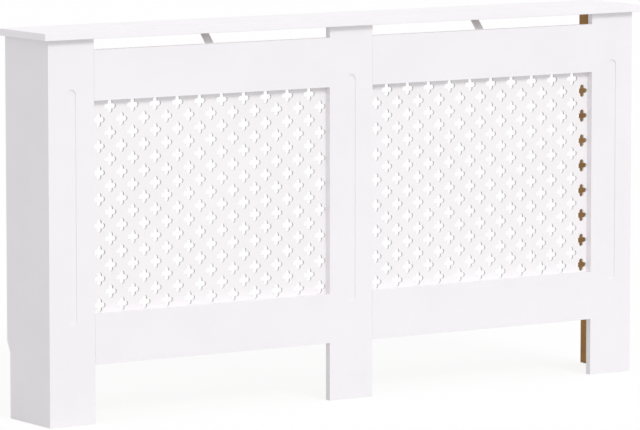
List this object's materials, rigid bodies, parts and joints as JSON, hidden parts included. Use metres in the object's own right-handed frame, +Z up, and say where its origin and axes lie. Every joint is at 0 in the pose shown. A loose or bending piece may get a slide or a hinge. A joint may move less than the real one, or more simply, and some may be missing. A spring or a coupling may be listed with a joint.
{
  "type": "radiator cover cabinet",
  "caption": "White painted radiator cover: a shelf on side panels and pilasters, with pierced lattice plates in a frame of rails, open at the back and bottom.",
  "frame": {"origin": "bottom centre of the whole cabinet's box, on the floor, half way between the shelf's front and rear edges", "axes": "+X along the width to the right as seen from the front, +Y from the front towards the wall, +Z up"},
  "size_m": [1.52, 0.19, 0.815],
  "materials": {
    "painted_board": "smooth satin white paint on 15 mm medium density fibreboard, bare brown board on the inner faces of the panels, pilasters and rails",
    "painted_lattice": "smooth satin white paint on a thin pierced fibreboard plate, painted on both sides",
    "zinc_steel": "pressed sheet steel with dull zinc plating",
    "screw_steel": "bright zinc plated pan-head wood screws"
  },
  "bodies": {
    "root": {"top_shelf": "painted_board", "side_panel_left": "painted_board", "side_panel_right": "painted_board", "pilaster_left": "painted_board", "pilaster_middle": "painted_board", "pilaster_right": "painted_board", "top_rail_left": "painted_board", "top_rail_right": "painted_board", "bottom_rail_left": "painted_board", "bottom_rail_right": "painted_board", "lattice_left": "painted_lattice", "lattice_right": "painted_lattice", "shelf_tie_left": "zinc_steel", "shelf_tie_right": "zinc_steel", "corner_bracket_left_lower": "zinc_steel", "corner_bracket_left_upper": "zinc_steel", "corner_bracket_right_lower": "zinc_steel", "corner_bracket_right_upper": "zinc_steel", "shelf_bracket_left": "zinc_steel", "shelf_bracket_middle": "zinc_steel", "shelf_bracket_right": "zinc_steel", "wall_bracket_left": "zinc_steel", "wall_bracket_right": "zinc_steel", "joining_plate_left_upper": "zinc_steel", "joining_plate_left_lower": "zinc_steel", "joining_plate_right_upper": "zinc_steel", "joining_plate_right_lower": "zinc_steel", "corner_bracket_left_lower_screw_1": "screw_steel", "corner_bracket_left_lower_screw_2": "screw_steel", "corner_bracket_left_upper_screw_1": "screw_steel", "corner_bracket_left_upper_screw_2": "screw_steel", "corner_bracket_right_lower_screw_1": "screw_steel", "corner_bracket_right_lower_screw_2": "screw_steel", "corner_bracket_right_upper_screw_1": "screw_steel", "corner_bracket_right_upper_screw_2": "screw_steel", "shelf_bracket_left_screw_1": "screw_steel", "shelf_bracket_left_screw_2": "screw_steel", "shelf_bracket_middle_screw_1": "screw_steel", "shelf_bracket_middle_screw_2": "screw_steel", "shelf_bracket_right_screw_1": "screw_steel", "shelf_bracket_right_screw_2": "screw_steel", "wall_bracket_left_screw_1": "screw_steel", "wall_bracket_right_screw_1": "screw_steel", "joining_plate_left_upper_screw_1": "screw_steel", "joining_plate_left_upper_screw_2": "screw_steel", "joining_plate_left_lower_screw_1": "screw_steel", "joining_plate_left_lower_screw_2": "screw_steel", "joining_plate_right_upper_screw_1": "screw_steel", "joining_plate_right_upper_screw_2": "screw_steel", "joining_plate_right_lower_screw_1": "screw_steel", "joining_plate_right_lower_screw_2": "screw_steel", "shelf_tie_left_screw_1": "screw_steel", "shelf_tie_left_screw_2": "screw_steel", "shelf_tie_right_screw_1": "screw_steel", "shelf_tie_right_screw_2": "screw_steel"}
  },
  "joints": []
}
